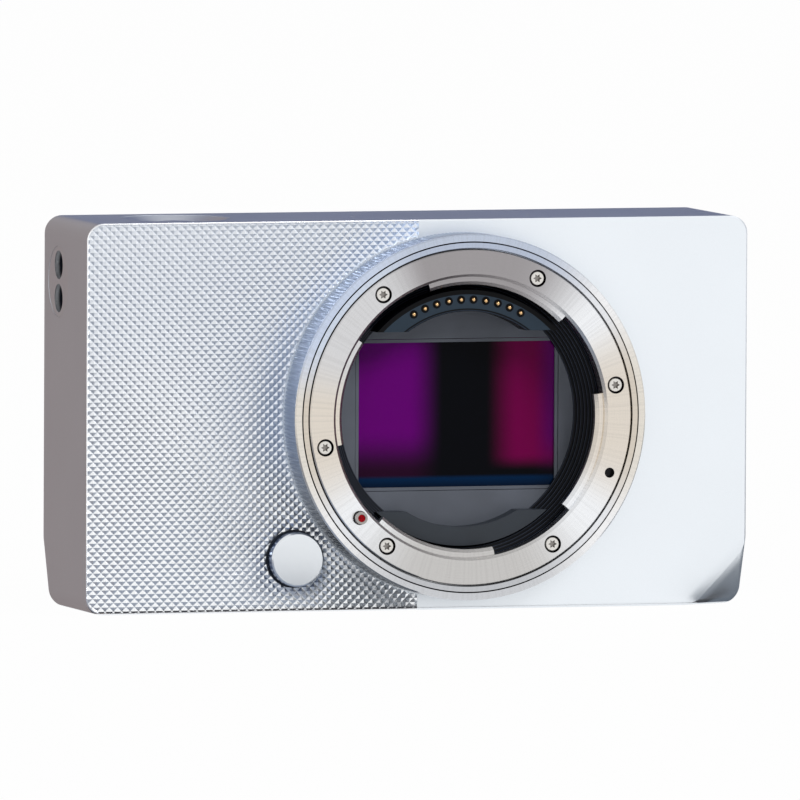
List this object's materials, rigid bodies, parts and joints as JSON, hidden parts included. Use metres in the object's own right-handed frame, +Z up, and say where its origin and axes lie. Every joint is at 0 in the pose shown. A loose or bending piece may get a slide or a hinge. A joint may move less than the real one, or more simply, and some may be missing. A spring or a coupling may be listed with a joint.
{
  "type": "mirrorless camera body",
  "caption": "Mirrorless camera body without a lens: one-piece metal shell, bayonet lens mount with sensor window, rear display, dial, shutter button and battery.",
  "frame": {"origin": "middle of the base, at the middle of the overall depth from lens lock pin to control dial", "axes": "+X to the right seen from the front, -Y out of the lens mount, +Z up"},
  "size_m": [0.1286, 0.038, 0.0728],
  "materials": {
    "satin_aluminium": "bead blasted and clear anodised",
    "rear_aluminium": "bead blasted and clear anodised",
    "mount_aluminium": "fluted and anodised",
    "bright_trim": "turned bright",
    "flange_steel": "ground and lightly polished",
    "screw_steel": "satin",
    "spring_steel": "plain",
    "button_aluminium": "satin anodised",
    "light_trap_black": "matt black",
    "baffle_grey": "satin grey",
    "contact_housing": "fine matt",
    "contact_gold": "gold plated",
    "coated_glass": "optical coating",
    "silicon": "polished",
    "ceramic": "fired",
    "black_plastic": "fine grain",
    "circuit_board": "solder mask",
    "chip_black": "moulded",
    "plain_aluminium": "mill",
    "tin_plate": "tinned",
    "display_glass": "polished",
    "display_panel": "polished",
    "seal_rubber": "soft"
  },
  "bodies": {
    "root": {"baffle_plate": "baffle_grey", "battery_bay": "black_plastic", "battery_contacts": "contact_gold", "bayonet_spring": "spring_steel", "body_shell": "satin_aluminium", "button_board": "circuit_board", "button_switches": "black_plastic", "chassis_plate": "plain_aluminium", "chassis_screws": "screw_steel", "contact_block": "contact_housing", "contact_board": "circuit_board", "cover_screws": "screw_steel", "dial_encoder": "black_plastic", "display_glass": "display_glass", "display_panel": "display_panel", "heat_plate": "plain_aluminium", "image_processor": "chip_black", "image_sensor": "silicon", "light_chamber": "light_trap_black", "lower_baffle": "baffle_grey", "main_board": "circuit_board", "memory_chips": "chip_black", "microphones": "black_plastic", "mount_collar": "mount_aluminium", "mount_flange": "flange_steel", "mount_screws": "screw_steel", "mount_trim_ring": "bright_trim", "rear_cover": "rear_aluminium", "release_spring": "spring_steel", "sensor_board": "circuit_board", "sensor_filter": "coated_glass", "sensor_holder": "black_plastic", "sensor_package": "ceramic", "shield_can": "tin_plate", "shutter_dish": "satin_aluminium", "shutter_spring": "spring_steel", "shutter_switch": "black_plastic", "speaker": "black_plastic", "status_glass": "display_glass", "status_panel": "display_panel", "strap_boss": "button_aluminium", "tripod_bush": "spring_steel", "usb_shell": "tin_plate", "usb_tongue": "black_plastic", "window_frame": "light_trap_black"},
    "contact_pins": {"contact_pins": "contact_gold"},
    "lens_release": {"lens_release_button": "button_aluminium", "release_yoke": "spring_steel", "lens_lock_pin": "screw_steel"},
    "shutter_button": {"shutter_button": "button_aluminium"},
    "dial": {"control_dial": "button_aluminium"},
    "dial_centre": {"dial_centre_button": "button_aluminium"},
    "play_button": {"play_button": "button_aluminium"},
    "option_button": {"option_button": "button_aluminium"},
    "power_button": {"power_button": "button_aluminium"},
    "battery": {"battery_case": "black_plastic", "battery_cap": "satin_aluminium", "battery_seal": "seal_rubber", "battery_terminals": "contact_gold"},
    "battery_latch": {"battery_latch": "button_aluminium"}
  },
  "joints": [
    {"name": "shutter_press", "type": "slide", "parent": "root", "child": "shutter_button", "axis": [0, 0, -1], "range_m": [0, 0.001], "stiffness_N_per_m": 1000, "deforming": ["shutter_spring"]},
    {"name": "lens_release_press", "type": "slide", "parent": "root", "child": "lens_release", "axis": [0, 1, 0], "range_m": [0, 0.0014], "stiffness_N_per_m": 1200, "deforming": ["release_spring"]},
    {"name": "contact_pins_press", "type": "slide", "parent": "root", "child": "contact_pins", "axis": [0, 1, 0], "range_m": [0, 0.0005], "stiffness_N_per_m": 4000},
    {"name": "dial_turn", "type": "hinge", "parent": "root", "child": "dial", "pos_m": [-0.043, 0.016, 0.027], "axis": [0, 1, 0], "continuous": true},
    {"name": "dial_centre_press", "type": "slide", "parent": "root", "child": "dial_centre", "axis": [0, -1, 0], "range_m": [0, 0.0005], "stiffness_N_per_m": 3000},
    {"name": "play_button_press", "type": "slide", "parent": "root", "child": "play_button", "axis": [0, -1, 0], "range_m": [0, 0.0005], "stiffness_N_per_m": 3000},
    {"name": "option_button_press", "type": "slide", "parent": "root", "child": "option_button", "axis": [0, -1, 0], "range_m": [0, 0.0005], "stiffness_N_per_m": 3000},
    {"name": "power_button_press", "type": "slide", "parent": "root", "child": "power_button", "axis": [0, -1, 0], "range_m": [0, 0.0005], "stiffness_N_per_m": 3000},
    {"name": "battery_slide", "type": "slide", "parent": "root", "child": "battery", "axis": [0, 0, -1], "range_m": [0, 0.06]},
    {"name": "battery_latch_slide", "type": "slide", "parent": "root", "child": "battery_latch", "axis": [1, 0, 0], "range_m": [0, 0.003], "stiffness_N_per_m": 200}
  ]
}
